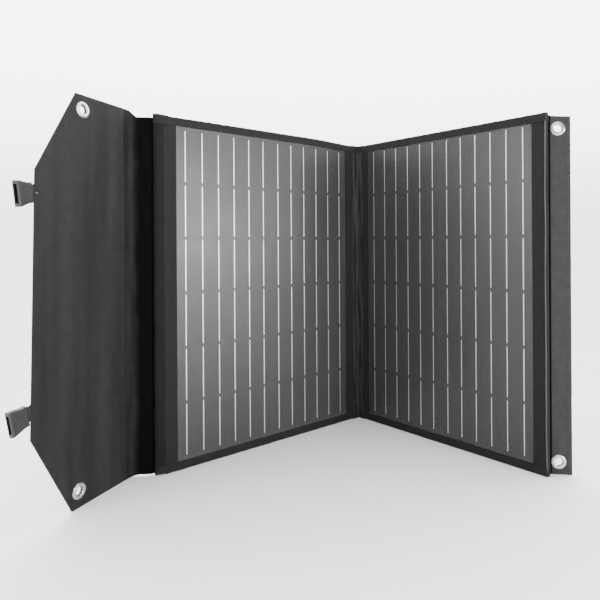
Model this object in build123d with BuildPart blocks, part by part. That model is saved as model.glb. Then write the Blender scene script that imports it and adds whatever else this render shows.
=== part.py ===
from build123d import *

import os
from math import cos, radians, sin, tan

# Folding solar suitcase: two stiff wings that shut like a book, a wrap-round flap and an eyelet strip.
# Millimetres, +Z up. The kit stands on its lower edges, half open, with its solar faces towards -Y.

os.makedirs("parts", exist_ok=True)

# The fold: both wings stand on their edges and turn about one upright axis.
fold_x = 46.54
fold_y = 218.709
left_heading = 220.34
right_heading = -44.06
face = 0.5  # each solar face lies this far behind the fold axis, so that the shut faces stay apart

# Wings
wing_height = 542.0
wing_thickness = 12.0
cloth = 0.8
edge_gap = 12.0  # fold axis to the stiff edge of each wing
left_reach = 400.0
right_reach = 387.0
left_roll = 14.0  # width of the rounded outer edge
right_roll = 7.0
binding_height = 13.3

# Solar laminate: half cells of a 166 mm wafer, in two columns of six
cell_width = 166.0
cell_height = 83.0
cell_pitch_along = 168.0
cell_pitch_up = 85.0
cell_corner = 6.0
cell_columns = 2
cell_rows = 6
ribbons_per_cell = 6
ribbon_width = 1.4
ribbon_end = 2.0  # bare cell beyond each end of a ribbon
window_width = 336.4
window_height = 519.6
window_bottom = 13.4
laminate_lap = 6.0  # how far the laminate runs under the cloth round the window
left_window_start = 31.0
right_window_start = 26.0

# Spine and flap on the outer edge of the left wing
sheet_thickness = 1.6
hinge_gap = 1.2  # bare cloth between a hinge line and the stiff sheet beside it
spine_along = 402.0
spine_depth = 12.0
spine_width = 30.9
spine_up = (2.5, 541.0)
spine_heading = 183.3
flap_heading = 251.3
flap_height = 551.0
flap_thickness = 2.6
flap_board_inset = 8.0
flap_upper_corner = (97.5, 551.0)
flap_lower_corner = (107.0, 0.0)
flap_outer_top = (157.5, 442.0)
flap_outer_bottom = (165.0, 114.0)

# Eyelets
eyelet_hole = 5.8
eyelet_barrel = 7.2
eyelet_radius = 10.8
eyelet_flange = 0.9
flap_eyelets = {"upper": (86.5, 531.0), "lower": (96.0, 22.5)}
strip_eyelets = {"upper": (15.4, 519.5), "lower": (14.2, 19.0)}

# Eyelet strip on the outer edge of the right wing
strip_along = 380.0
strip_depth = 15.3
strip_width = 33.5
strip_height = 537.0
strip_heading = -7.4

# Webbing and buckles
webbing = 20.0
webbing_thickness = 1.6
patch_length = 32.0
buckle_heights = {"upper": 413.5, "lower": 147.0}
buckle_swings = {"upper": 12.0, "lower": 2.0}  # degrees each tab has swung forward of the flap
buckle_droops = {"upper": 9.0, "lower": 11.0}  # degrees each tab hangs below level
buckle_width = 31.0
buckle_length = 23.0
buckle_thickness = 8.0
buckle_neck = 25.0
tab_end = 8.0
socket_start = 4.6
plug_length = 18.0
plug_thickness = 7.0
plug_lap = 8.0  # how much of the strap's end is inside the plug
prong_length = 18.0
prong_width = 3.4
prong_depth = 3.2
catch_along = 100.0
catch_depth = 14.0
catch_strap_end = 168.0

# Carry handle on the outside of the spine
handle_along = 15.0
handle_depth = 7.0
handle_rise = 32.0
handle_radius = 4.0
handle_root = 22.0  # straight rope at each end, in its loop
handle_shoulder = 40.0
handle_bend = 12.0
grip_round = 3.0
loop_inset = 9.0
loop_thickness = 1.6
loop_width = 25.0
loop_foot = 30.0
loop_length = 14.0
loop_neck = 6.0
loop_wall = 2.0
loop_play = 0.3
handle_half_span = 85.0
handle_middle = 275.0
grip_radius = 8.5
grip_length = 74.0

# Zipped pocket and junction box on the back of the left wing
pocket_along = (60.0, 270.0)
pocket_up = (60.0, 250.0)
pocket_thickness = 3.0
zip_up = 232.0
pocket_corner = 12.0
zip_inset = 12.0
zip_stop = 4.0  # bare tape beyond each end of the teeth
zip_tape_thickness = 0.6
zip_tape_half = 11.0
zip_teeth_thickness = 1.6
zip_teeth_half = 2.0
slider_length = 12.0
slider_half = 4.6
pull_length = 30.0
box_along = (285.0, 365.0)
box_up = (330.0, 392.0)
box_depth = 13.0
box_wall = 2.0
gland_bore = 3.5
gland_radius = 7.5
gland_length = 14.0

back = face + wing_thickness
bezel_depth = (face + cloth, face + 2 * cloth)
film_depth = (bezel_depth[1], bezel_depth[1] + 0.3)
cell_depth = (film_depth[1] + 0.2, film_depth[1] + 0.4)
ribbon_depth = (cell_depth[0] - 0.1, cell_depth[0])
backsheet_depth = (cell_depth[1] + 0.1, cell_depth[1] + 1.3)
board_depth = (bezel_depth[1], back - 2 * cloth)
cover_depth = (back - 2 * cloth, back - cloth)
slab_up = (cloth, wing_height - cloth)


class Panel:
    """An upright sheet: where its hinge line stands, which way it heads, and on which side its face is."""

    def __init__(self, x, y, heading, front):
        self.x = x
        self.y = y
        self.front = front
        self.heading = heading
        self.outward = (cos(radians(heading)), sin(radians(heading)))

    def plane(self, height=0.0):
        """The level plane through the hinge line: x runs out along the sheet."""
        return Plane(origin=(self.x, self.y, height), x_dir=(*self.outward, 0), z_dir=(0, 0, 1))

    def spot(self, along, depth):
        """The place `along` the sheet and `depth` behind its hinge line, on the floor."""
        ux, uy = self.outward
        side = -self.front * depth
        return (self.x + ux * along - uy * side, self.y + uy * along + ux * side)

    def elevation(self, depth):
        """The upright plane `depth` behind the hinge line: x runs out along the sheet and y runs up."""
        ux, uy = self.outward
        return Plane(origin=(*self.spot(0, depth), 0), x_dir=(ux, uy, 0), z_dir=(uy, -ux, 0))

    def centred(self, along, depth, height):
        """The upright plane facing out of the sheet, centred on one point of it."""
        ux, uy = self.outward
        return Plane(origin=(*self.spot(along, depth), height), x_dir=(ux, uy, 0), z_dir=(uy, -ux, 0))

    def tilted(self, along, depth, height, droop):
        """The same upright plane with its x turned down by `droop` degrees."""
        ux, uy = self.outward
        level = cos(radians(droop))
        x_dir = (ux * level, uy * level, -sin(radians(droop)))
        return Plane(origin=(*self.spot(along, depth), height), x_dir=x_dir, z_dir=(uy, -ux, 0))


left = Panel(fold_x, fold_y, left_heading, 1)
right = Panel(fold_x, fold_y, right_heading, -1)
spine = Panel(*left.spot(spine_along, spine_depth), spine_heading, 1)
flap = Panel(*spine.spot(spine_width, 0), flap_heading, 1)
strip = Panel(*right.spot(strip_along, strip_depth), strip_heading, -1)


def block(panel, along, depth, up, mode=Mode.ADD):
    """A box between two distances along a panel, behind its hinge line and above the floor."""
    middle = ((along[0] + along[1]) / 2, -panel.front * (depth[0] + depth[1]) / 2, (up[0] + up[1]) / 2)
    with Locations(middle):
        Box(along[1] - along[0], depth[1] - depth[0], up[1] - up[0], mode=mode)


def save(part, name):
    """Label a finished piece and write it as one node."""
    part.label = name
    export_step(part, f"parts/{name}.step")


def plate(panel, name, along, depth, up):
    """A plain rectangular piece."""
    with BuildPart(panel.plane()) as piece:
        block(panel, along, depth, up)
    save(piece.part, name)


def framed_plate(panel, name, along, depth, up, hole_along, hole_depth, hole_up):
    """A rectangular piece with a rectangular window or pocket."""
    with BuildPart(panel.plane()) as piece:
        block(panel, along, depth, up)
        block(panel, hole_along, hole_depth, hole_up, mode=Mode.SUBTRACT)
    save(piece.part, name)


def make_cells(panel, side, start, bottom):
    """Half cells, each with two clipped corners on the side away from its other half."""
    with BuildPart() as cells:
        with BuildSketch(panel.elevation(cell_depth[0])):
            for column in range(cell_columns):
                for row in range(cell_rows):
                    low = bottom + row * cell_pitch_up
                    x0 = start + column * cell_pitch_along
                    x1 = x0 + cell_width
                    clip_low = cell_corner if row % 2 == 0 else 0
                    clip_high = cell_corner - clip_low
                    corners = [
                        (x0 + clip_low, low),
                        (x1 - clip_low, low),
                        (x1, low + clip_low),
                        (x1, low + cell_height - clip_high),
                        (x1 - clip_high, low + cell_height),
                        (x0 + clip_high, low + cell_height),
                        (x0, low + cell_height - clip_high),
                        (x0, low + clip_low),
                    ]
                    with BuildLine():
                        Polyline(*dict.fromkeys(corners), close=True)
                    make_face()
        extrude(amount=panel.front * (cell_depth[1] - cell_depth[0]))
    save(cells.part, f"{side}_cells")


def make_ribbons(panel, side, start, bottom):
    """Tinned ribbons down the front of the cells, one row of cells long."""
    spacing = cell_width / ribbons_per_cell
    with BuildPart(panel.plane()) as ribbons:
        for column in range(cell_columns):
            for ribbon in range(ribbons_per_cell):
                middle = start + column * cell_pitch_along + (ribbon + 0.5) * spacing
                along = (middle - ribbon_width / 2, middle + ribbon_width / 2)
                for row in range(cell_rows):
                    low = bottom + row * cell_pitch_up
                    block(panel, along, ribbon_depth, (low + ribbon_end, low + cell_height - ribbon_end))
    save(ribbons.part, f"{side}_ribbons")


def make_edge_roll(panel, side, start, end):
    """The padded outer edge, rounded in plan."""
    width = end - start
    thick = wing_thickness - 2 * cloth
    middle = -panel.front * (face + wing_thickness / 2)
    bulge = min(width, thick / 2) - 0.1
    with BuildPart() as roll:
        with BuildSketch(panel.plane()):
            with Locations((start + width / 2, middle)):
                outline = Rectangle(width, thick)
            fillet(outline.vertices().group_by(Axis((0, 0, 0), (*panel.outward, 0)))[-1], bulge)
        extrude(amount=wing_height)
    save(roll.part, f"{side}_edge_roll")


def make_binding(panel, name, along, edge, inward):
    """Tape folded over the top or bottom edge of a wing."""
    up = sorted((edge, edge + inward * binding_height))
    inner_up = sorted((edge + inward * cloth, edge + inward * binding_height))
    inner_depth = (face + cloth, back - cloth)
    framed_plate(panel, name, along, (face, back), up, along, inner_depth, inner_up)


def make_wing(panel, side, window_start, reach, roll_width):
    """One stiff wing: laminate, board, cloth covers, bindings and its half of the fold cloth."""
    roll_start = reach - roll_width
    slab = (edge_gap + cloth, roll_start)
    window = (window_start, window_start + window_width)
    window_up = (window_bottom, window_bottom + window_height)
    laminate = (window[0] - laminate_lap, window[1] + laminate_lap)
    laminate_up = (window_up[0] - laminate_lap, window_up[1] + laminate_lap)
    pocket = (board_depth[0], backsheet_depth[1])
    cells_start = window[0] + (window_width - cell_pitch_along - cell_width) / 2
    cells_bottom = window_up[0] + (window_height - (cell_rows - 1) * cell_pitch_up - cell_height) / 2

    framed_plate(panel, f"{side}_board", slab, board_depth, slab_up, laminate, pocket, laminate_up)
    plate(panel, f"{side}_backsheet", laminate, backsheet_depth, laminate_up)
    make_cells(panel, side, cells_start, cells_bottom)
    make_ribbons(panel, side, cells_start, cells_bottom)
    plate(panel, f"{side}_film", laminate, film_depth, laminate_up)
    framed_plate(panel, f"{side}_bezel", slab, bezel_depth, slab_up, window, bezel_depth, window_up)
    plate(panel, f"{side}_back_cover", slab, cover_depth, slab_up)
    plate(panel, f"{side}_fold_edge", (edge_gap, slab[0]), (bezel_depth[0], cover_depth[1]), slab_up)
    make_edge_roll(panel, side, roll_start, reach)
    make_binding(panel, f"{side}_top_binding", (edge_gap, roll_start), wing_height, -1)
    make_binding(panel, f"{side}_bottom_binding", (edge_gap, roll_start), 0, 1)
    make_fold_cloth(panel, side)


def make_fold_cloth(panel, side):
    """Cloth from both faces of a wing to the seam at the fold: two thin sheets that meet there."""
    margin = 2.0
    up = (margin, wing_height - margin)
    plate(panel, f"{side}_fold_face_cloth", (hinge_gap, edge_gap), (face + cloth, face + 2 * cloth), up)
    seam = (hinge_gap + 0.6, -panel.front * (face + 2 * cloth + 0.6))
    edge = (edge_gap, -panel.front * (back - cloth))
    with BuildPart() as sheet:
        with BuildSketch(panel.plane(margin)):
            with BuildLine():
                Line(seam, edge)
                offset(amount=cloth / 2, side=Side.BOTH)
            make_face()
        extrude(amount=wing_height - 2 * margin)
        cut = Plane(panel.plane().location * Plane.YZ.offset(edge_gap).location)
        split(bisect_by=cut, keep=Keep.BOTTOM)
    save(sheet.part, f"{side}_fold_back_cloth")


def make_eyelet(panel, name, along, height, thickness):
    """A pressed metal ring: a barrel through the cloth and a rounded flange on each face."""
    half = thickness / 2 + eyelet_flange
    with BuildPart(panel.centred(along, 0, height)) as ring:
        Cylinder(eyelet_barrel, 2 * half)
        with Locations((0, 0, half - eyelet_flange / 2), (0, 0, eyelet_flange / 2 - half)):
            Cylinder(eyelet_radius, eyelet_flange)
        fillet(ring.edges().filter_by(GeomType.CIRCLE).group_by(SortBy.RADIUS)[-1], 0.4)
        Hole(eyelet_hole)
    save(ring.part, name)


def cut_sheet(panel, name, outline, depth, eyelets, board=None):
    """A sheet of cloth cut to an outline and punched for its eyelets, with a pocket for a board."""
    barrels = list(eyelets.values())
    with BuildPart() as sheet:
        with BuildSketch(panel.elevation(depth[0])):
            with BuildLine():
                Polyline(*outline, close=True)
            make_face()
            with Locations(*barrels):
                Circle(eyelet_barrel, mode=Mode.SUBTRACT)
        extrude(amount=panel.front * (depth[1] - depth[0]))
        if board is not None:
            add(board, mode=Mode.SUBTRACT)
    save(sheet.part, name)


def make_spine():
    """The soft spine between the wing and the flap, and the cloth that sews it to the wing."""
    root = (left_reach - 24, spine_along - hinge_gap - 0.3)
    plate(left, "spine_root_cloth", root, (back, back + cloth), (spine_up[0] + 2, spine_up[1] - 2))
    half = sheet_thickness / 2
    along = (hinge_gap, spine_width - hinge_gap - 0.6)
    plate(spine, "spine_cloth", along, (-half, half), spine_up)


def make_flap():
    """The flap: two cloths sewn round a thin board, cut away at its outer corners."""
    half = flap_thickness / 2
    root = hinge_gap
    outline = [
        (root, 0),
        flap_lower_corner,
        flap_outer_bottom,
        flap_outer_top,
        flap_upper_corner,
        (root, flap_height),
    ]
    with BuildPart() as board:
        with BuildSketch(flap.elevation(cloth - half)):
            with BuildLine():
                Polyline(*outline, close=True)
            make_face()
            offset(amount=-flap_board_inset, kind=Kind.INTERSECTION)
            with Locations(*flap_eyelets.values()):
                Circle(eyelet_radius + 6, mode=Mode.SUBTRACT)
        extrude(amount=flap_thickness - 2 * cloth)
    save(board.part, "flap_board")
    cut_sheet(flap, "flap_face_cloth", outline, (-half, cloth - half), flap_eyelets)
    cut_sheet(flap, "flap_back_cloth", outline, (cloth - half, half), flap_eyelets, board.part)
    for place, (along, height) in flap_eyelets.items():
        make_eyelet(flap, f"flap_{place}_eyelet", along, height, flap_thickness)


def make_strip():
    """The eyelet strip and the cloth that sews it to the wing."""
    root = (strip_along - 26, strip_along - hinge_gap - 0.5)
    plate(right, "strip_root_cloth", root, (back, back + cloth), (2, strip_height - 2))
    half = sheet_thickness / 2
    outline = [(hinge_gap, 0), (strip_width, 0), (strip_width, strip_height), (hinge_gap, strip_height)]
    cut_sheet(strip, "strip_cloth", outline, (-half, half), strip_eyelets)
    for place, (along, height) in strip_eyelets.items():
        make_eyelet(strip, f"strip_{place}_eyelet", along, height, sheet_thickness)


def outer_edge(height):
    """How far out the flap's outer edge is at one height."""
    (x0, z0), (x1, z1) = flap_outer_bottom, flap_outer_top
    return x0 + (x1 - x0) * (height - z0) / (z1 - z0)


def make_buckle(place, height):
    """A webbing tab sewn to the flap, with the socket half of a side-release buckle on its end."""
    droop = buckle_droops[place]
    fall = tan(radians(droop))
    hinge = flap.spot(outer_edge(height) + hinge_gap, 0)
    tab = Panel(*hinge, flap_heading + buckle_swings[place], 1)
    top = height + webbing / 2
    bottom = height - webbing / 2
    outline = [
        (hinge_gap, bottom),
        (tab_end, bottom - fall * tab_end),
        (tab_end, top - fall * tab_end),
        (hinge_gap, top),
    ]
    with BuildPart() as strap:
        with BuildSketch(tab.elevation(-webbing_thickness / 2)):
            with BuildLine():
                Polyline(*outline, close=True)
            make_face()
        extrude(amount=webbing_thickness)
    save(strap.part, f"{place}_tab")

    shoulder = 7.0
    mouth_land = 4.0
    root = height - fall * socket_start
    corners = [
        (0, buckle_neck / 2),
        (shoulder, buckle_neck / 2),
        (buckle_length - mouth_land, buckle_width / 2),
        (buckle_length, buckle_width / 2),
    ]
    mirrored = [(x, -y) for x, y in reversed(corners)]
    with BuildPart() as socket:
        with BuildSketch(tab.tilted(socket_start, -buckle_thickness / 2, root, droop)):
            with BuildLine():
                Polyline(*corners, *mirrored, close=True)
            make_face()
        extrude(amount=buckle_thickness)
        fillet(socket.faces().filter_by(tab.elevation(0)).edges(), 1.6)

    throat = (17.0, buckle_width - 8, 4.2)
    slot = (8.0, webbing + 1.2, webbing_thickness + 0.6)
    window = (9.0, buckle_width + 4, 3.2)
    with BuildPart(tab.tilted(socket_start, 0, root, droop)) as hollow:
        with Locations((buckle_length + 1 - throat[0] / 2, 0, 0)):
            Box(*throat)
        with Locations((slot[0] / 2 - 1, 0, 0)):
            Box(*slot)
        with Locations((buckle_length - 11, 0, 0)):
            Box(*window)
    with BuildPart() as body:
        add(socket.part)
        add(hollow.part, mode=Mode.SUBTRACT)
    save(body.part, f"{place}_socket")


def make_catch(place, height):
    """The mating half: a strap sewn to the back of the right wing, with the plug half on its end."""
    strap_up = (height - webbing / 2, height + webbing / 2)
    half = webbing_thickness / 2
    strap = Panel(*right.spot(catch_along, catch_depth), right_heading, -1)
    end = catch_strap_end - catch_along
    plate(strap, f"{place}_strap", (hinge_gap, end), (-half, half), strap_up)

    start = end - plug_lap
    tip = start + plug_length
    middle = plug_thickness / 2 - half - 0.2
    prongs = [(tip + prong_length / 2, middle, side * 8.5) for side in (-1, 0, 1)]
    barb = (6.0, prong_depth, 4.6)
    barbs = [(tip + prong_length - barb[0] / 2, middle, side * 9.5) for side in (-1, 1)]
    with BuildPart(strap.plane(height)) as plug:
        with Locations((start + plug_length / 2, middle, 0)):
            Box(plug_length, plug_thickness, buckle_width - 1)
        fillet(plug.edges().filter_by(Axis((0, 0, 0), (*strap.outward, 0))), 1.2)
        with Locations((end - plug_lap / 2, 0, 0)):
            Box(plug_lap, webbing_thickness, webbing, mode=Mode.SUBTRACT)
        with Locations(*prongs):
            Box(prong_length, prong_depth, prong_width)
        with Locations(*barbs):
            Box(*barb)
    save(plug.part, f"{place}_plug")


def make_patches():
    """The ends of the webbing that are sewn down flat: two on the flap and two on the right wing."""
    outside = flap_thickness / 2
    with BuildPart(flap.plane()) as tabs:
        for height in buckle_heights.values():
            edge = outer_edge(height)
            up = (height - webbing / 2, height + webbing / 2)
            block(flap, (edge - 2 - patch_length, edge - 2), (outside, outside + webbing_thickness), up)
    save(tabs.part, "tab_patches")
    with BuildPart(right.plane()) as straps:
        for height in buckle_heights.values():
            up = (height - webbing / 2, height + webbing / 2)
            sewn = (catch_along - patch_length, catch_along - 1)
            block(right, sewn, (back, back + webbing_thickness), up)
    save(straps.part, "strap_patches")


def make_handle():
    """A rope handle with a padded grip, its two ends held in loops sewn to the spine."""
    low = handle_middle - handle_half_span
    high = handle_middle + handle_half_span
    route = [
        (handle_depth, low),
        (handle_depth, low + handle_root),
        (handle_rise, low + handle_shoulder),
        (handle_rise, high - handle_shoulder),
        (handle_depth, high - handle_root),
        (handle_depth, high),
    ]
    across = Plane(
        origin=(*spine.spot(handle_along, 0), 0),
        x_dir=(spine.outward[1], -spine.outward[0], 0),
        z_dir=(-spine.outward[0], -spine.outward[1], 0),
    )
    with BuildPart() as rope:
        with BuildLine(across) as path:
            FilletPolyline(*route, radius=handle_bend)
        with BuildSketch(Plane(origin=path.line @ 0, z_dir=path.line % 0)):
            Circle(handle_radius)
        sweep()
    save(rope.part, "handle_rope")

    with BuildPart(spine.plane(handle_middle)) as grip:
        with Locations((handle_along, -handle_rise, 0)):
            Cylinder(grip_radius, grip_length)
            fillet(grip.edges().filter_by(GeomType.CIRCLE), grip_round)
            Cylinder(handle_radius, grip_length + 1, mode=Mode.SUBTRACT)
    save(grip.part, "handle_grip")

    surface = sheet_thickness / 2
    for place, height in {"lower": low + loop_inset, "upper": high - loop_inset}.items():
        with BuildPart(spine.plane(height)) as loop:
            with Locations((handle_along, -surface - loop_thickness / 2, 0)):
                Box(loop_width, loop_thickness, loop_foot)
            with Locations((handle_along, -handle_depth, 0)):
                Cylinder(handle_radius + loop_wall, loop_length)
            with Locations((handle_along, -(handle_depth + surface) / 2, 0)):
                Box(loop_neck, handle_depth - surface, loop_length)
            with Locations((handle_along, -handle_depth, 0)):
                Cylinder(handle_radius + loop_play, loop_foot + 1, mode=Mode.SUBTRACT)
        save(loop.part, f"{place}_handle_loop")


def make_pocket():
    """A flat pocket with a zip along its top, closed, and the slider at the fold end of the zip."""
    front = back + pocket_thickness
    with BuildPart(left.plane()) as pocket:
        block(left, pocket_along, (back, front), pocket_up)
        upright = pocket.edges().filter_by(Axis((0, 0, 0), (left.outward[1], -left.outward[0], 0)))
        fillet(upright, pocket_corner)
    save(pocket.part, "pocket")

    zip_along = (pocket_along[0] + zip_inset, pocket_along[1] - zip_inset)
    tape = (front, front + zip_tape_thickness)
    teeth = (tape[1], tape[1] + zip_teeth_thickness)
    plate(left, "zip_tape", zip_along, tape, (zip_up - zip_tape_half, zip_up + zip_tape_half))
    teeth_along = (zip_along[0] + zip_stop, zip_along[1] - zip_stop)
    plate(left, "zip_teeth", teeth_along, teeth, (zip_up - zip_teeth_half, zip_up + zip_teeth_half))

    start = zip_along[0] + 2 * zip_stop
    end = start + slider_length
    body = (tape[1] + 0.2, teeth[1] + 1.7)
    tunnel = (body[0], teeth[1] + 0.3)
    tunnel_up = (zip_up - zip_teeth_half - 0.3, zip_up + zip_teeth_half + 0.3)
    bridge = (body[1], body[1] + 2.2)
    bridge_up = (zip_up - 3.5, zip_up + 3.5)
    pull = (body[1] + 0.1, body[1] + 1.2)
    window = (start + 2.6, end - 2.6)
    with BuildPart(left.plane()) as slider:
        block(left, (start, end), body, (zip_up - slider_half, zip_up + slider_half))
        block(left, (start - 1, end + 1), tunnel, tunnel_up, Mode.SUBTRACT)
        block(left, (start + 3, end - 3), bridge, bridge_up)
        block(left, (start + 2, end - 2), (body[1], body[1] + 1.3), tunnel_up, Mode.SUBTRACT)
    save(slider.part, "zip_slider")
    with BuildPart(left.plane()) as tab:
        block(left, (start + 0.4, end - 0.4), pull, (zip_up - pull_length, zip_up + 2))
        block(left, window, pull, (zip_up - 27, zip_up - 18), Mode.SUBTRACT)
        block(left, window, pull, (zip_up - 9, zip_up - 2.2), Mode.SUBTRACT)
    save(tab.part, "zip_pull")


def make_junction_box():
    """The box where the wings' wires join, its lid, and the gland that a lead would leave by."""
    depth = (back, back + box_depth)
    inner_along = (box_along[0] + box_wall, box_along[1] - box_wall)
    inner_up = (box_up[0] + box_wall, box_up[1] - box_wall)
    middle = (box_along[0] + box_along[1]) / 2
    gland_depth = back + box_depth / 2
    with BuildPart(left.plane()) as base:
        block(left, box_along, depth, box_up)
        upright = base.edges().filter_by(Axis((0, 0, 0), (left.outward[1], -left.outward[0], 0)))
        fillet(upright, 5)
        block(left, inner_along, (back + box_wall, back + box_depth), inner_up, Mode.SUBTRACT)
        with Locations((middle, -gland_depth, box_up[0])):
            Cylinder(gland_radius - 2.5, 4 * box_wall, mode=Mode.SUBTRACT)
    save(base.part, "junction_box")
    with BuildPart(left.plane()) as lid:
        block(left, box_along, (back + box_depth, back + box_depth + 2.4), box_up)
        fillet(lid.edges().filter_by(Axis((0, 0, 0), (left.outward[1], -left.outward[0], 0))), 5)
    save(lid.part, "junction_lid")
    with BuildPart(left.plane(box_up[0])) as gland:
        with Locations((middle, -gland_depth, box_wall / 2)):
            Cylinder(gland_radius - 2.5, box_wall)
        with Locations((middle, -gland_depth, -gland_length / 2)):
            Cylinder(gland_radius - 1.5, gland_length)
        with Locations((middle, -gland_depth, 0)):
            Cylinder(gland_bore, 3 * gland_length, mode=Mode.SUBTRACT)
    save(gland.part, "lead_gland")


make_wing(left, "left", left_window_start, left_reach, left_roll)
make_wing(right, "right", right_window_start, right_reach, right_roll)
make_spine()
make_flap()
make_strip()
for place, height in buckle_heights.items():
    make_buckle(place, height)
    make_catch(place, height)
make_patches()
make_handle()
make_pocket()
make_junction_box()
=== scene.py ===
from math import cos, pi, radians, sin

import bpy
import numpy as np
from mathutils import Euler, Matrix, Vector


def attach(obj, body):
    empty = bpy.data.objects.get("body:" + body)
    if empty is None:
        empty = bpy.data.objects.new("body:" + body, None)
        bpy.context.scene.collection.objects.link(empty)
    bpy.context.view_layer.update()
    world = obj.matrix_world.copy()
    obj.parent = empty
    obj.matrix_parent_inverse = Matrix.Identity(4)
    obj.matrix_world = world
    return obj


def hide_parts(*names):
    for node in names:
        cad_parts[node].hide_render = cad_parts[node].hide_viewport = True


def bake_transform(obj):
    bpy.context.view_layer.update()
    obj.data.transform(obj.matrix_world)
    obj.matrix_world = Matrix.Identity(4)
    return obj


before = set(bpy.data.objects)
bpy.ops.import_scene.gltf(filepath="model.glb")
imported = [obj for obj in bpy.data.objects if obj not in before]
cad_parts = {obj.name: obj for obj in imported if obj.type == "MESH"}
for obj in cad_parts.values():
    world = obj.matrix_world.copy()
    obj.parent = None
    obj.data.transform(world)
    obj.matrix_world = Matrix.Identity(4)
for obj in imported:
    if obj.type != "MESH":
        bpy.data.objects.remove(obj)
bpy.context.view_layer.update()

# Lengths are in millimetres until a mesh is made, which turns them to metres.

mm = 0.001

WING_HEIGHT = 542.0
FACE = 0.5
BACK = 12.5
CLOTH = 0.8
EDGE = 12.0  # fold line to the stiff edge of each wing
TAPE = 13.3
WINDOW_WIDTH = 336.4
WINDOW_UP = (13.4, 533.0)
SPINE_WIDTH = 30.9
SPINE_UP = (2.5, 541.0)
FLAP_WIDTH = 165.0
FLAP_HEIGHT = 551.0
FLAP_OUTLINE = [(0.0, 107.0), (114.0, FLAP_WIDTH), (442.0, 157.5), (FLAP_HEIGHT, 97.5)]  # (up, width)
FLAP_START = 13.0  # where the flap's own two cloths begin
FLAP_HOLE, STRIP_HOLE = 7.6, 7.8  # radius of the cloth's hole under an eyelet
FLAP_EYELETS = {"upper": (86.5, 531.0), "lower": (96.0, 22.5)}
STRIP_START = 4.4  # where the strip's own cloth begins
STRIP_WIDTH = 33.5
STRIP_HEIGHT = 537.0
STRIP_EYELETS = {"upper": (15.4, 519.5), "lower": (14.2, 19.0)}
WEBBING = 20.0
WEBBING_THICKNESS = 1.6
BUCKLE_UP = {"upper": 413.5, "lower": 147.0}
BUCKLE_SWING = {"upper": 12.0, "lower": 2.0}
BUCKLE_DROOP = {"upper": 9.0, "lower": 11.0}
CATCH_ALONG = 100.0


# ---------------------------------------------------------------- places

class Panel:
    """An upright sheet: its hinge line, its heading, and on which side its face is."""

    def __init__(self, x, y, heading, front):
        self.x = x
        self.y = y
        self.heading = heading
        self.front = front
        self.out = np.array([cos(radians(heading)), sin(radians(heading)), 0.0])
        self.back = np.array([front * self.out[1], -front * self.out[0], 0.0])
        self.up = np.array([0.0, 0.0, 1.0])

    def at(self, along, depth, up):
        """Points in millimetres, one for each triple of numbers or arrays."""
        along, depth, up = np.broadcast_arrays(
            np.asarray(along, float), np.asarray(depth, float), np.asarray(up, float)
        )
        start = np.array([self.x, self.y, 0.0])
        return (
            start
            + along[..., None] * self.out
            + depth[..., None] * self.back
            + up[..., None] * self.up
        )

    def metres(self, along, depth, up):
        return tuple(float(c) * mm for c in self.at(along, depth, up))

    def plan(self, along, depth):
        """A place seen from above."""
        return self.at(along, depth, 0)[:2]

    def panel_at(self, along, depth, heading, front):
        """Another panel whose hinge line stands at a place on this one."""
        return Panel(*self.plan(along, depth), heading, front)


left = Panel(46.54, 218.709, 220.34, 1)
right = Panel(46.54, 218.709, -44.06, -1)
spine = left.panel_at(402.0, 12.0, 183.3, 1)
flap = spine.panel_at(SPINE_WIDTH, 0, 251.3, 1)
strip = right.panel_at(380.0, 15.3, -7.4, -1)


def steps(low, high, size):
    """Evenly spaced numbers from low to high, about `size` apart."""
    return np.linspace(low, high, max(2, int(round((high - low) / size)) + 1))


def graded(start, *spans):
    """Numbers from start on through each (end, size) in turn, about `size` apart there."""
    parts = []
    for end, size in spans:
        parts.append(steps(start, end, size))
        start = end
    return np.unique(np.concatenate(parts))


def ease(x, low, high):
    """0 below low, 1 above high and a smooth rise between them."""
    t = np.clip((np.asarray(x, float) - low) / (high - low), 0, 1)
    return t * t * (3 - 2 * t)


def rumple(seed, shortest, longest, count=14, heading=0.0, spread=pi):
    """A smooth random height of about 1 over a flat sheet: sine waves added up, the same each run."""
    random = np.random.default_rng(seed)
    angles = heading + random.uniform(-spread, spread, count)
    lengths = np.exp(random.uniform(np.log(shortest), np.log(longest), count))
    phases = random.uniform(0, 2 * pi, count)
    sizes = (lengths / longest) ** 0.8
    scale = np.sqrt((sizes**2).sum() / 2)

    def height(x, y):
        total = 0.0
        for angle, length, phase, size in zip(angles, lengths, phases, sizes):
            across = x * cos(angle) + y * sin(angle)
            total = total + size * np.sin(2 * pi * across / length + phase)
        return total / scale

    return height


def full_turn(sides):
    return np.linspace(0, 2 * pi, sides, endpoint=False)


def grid(rows, columns):
    return np.meshgrid(rows, columns, indexing="ij")


def cell_middles(values):
    """The middle of each square of a grid of numbers."""
    return (values[:-1, :-1] + values[1:, 1:]) / 2


def clear_of(rings, a, u, reach):
    """Whether each square of a grid lies more than `reach` from every one of the rings."""
    a, u = cell_middles(a), cell_middles(u)
    return np.all([np.hypot(a - ring_a, u - ring_u) > reach for ring_a, ring_u in rings], axis=0)


def travelled(path):
    """How far each point of a path is from its start, along the path."""
    return np.concatenate([[0], np.cumsum(np.linalg.norm(np.diff(path, axis=0), axis=1))])


def points_at(path, where):
    """The places that lie the given distances along a path."""
    run = travelled(path)
    return np.column_stack([np.interp(where, run, column) for column in path.T])


def resample(path, size):
    """Points evenly spaced along a path, about `size` apart."""
    return points_at(path, steps(0, travelled(path)[-1], size))


def unit_slope(path):
    """The heading of a path at each of its points."""
    slope = np.gradient(path, axis=0)
    return slope / np.linalg.norm(slope, axis=1, keepdims=True)


# ---------------------------------------------------------------- meshes

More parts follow.
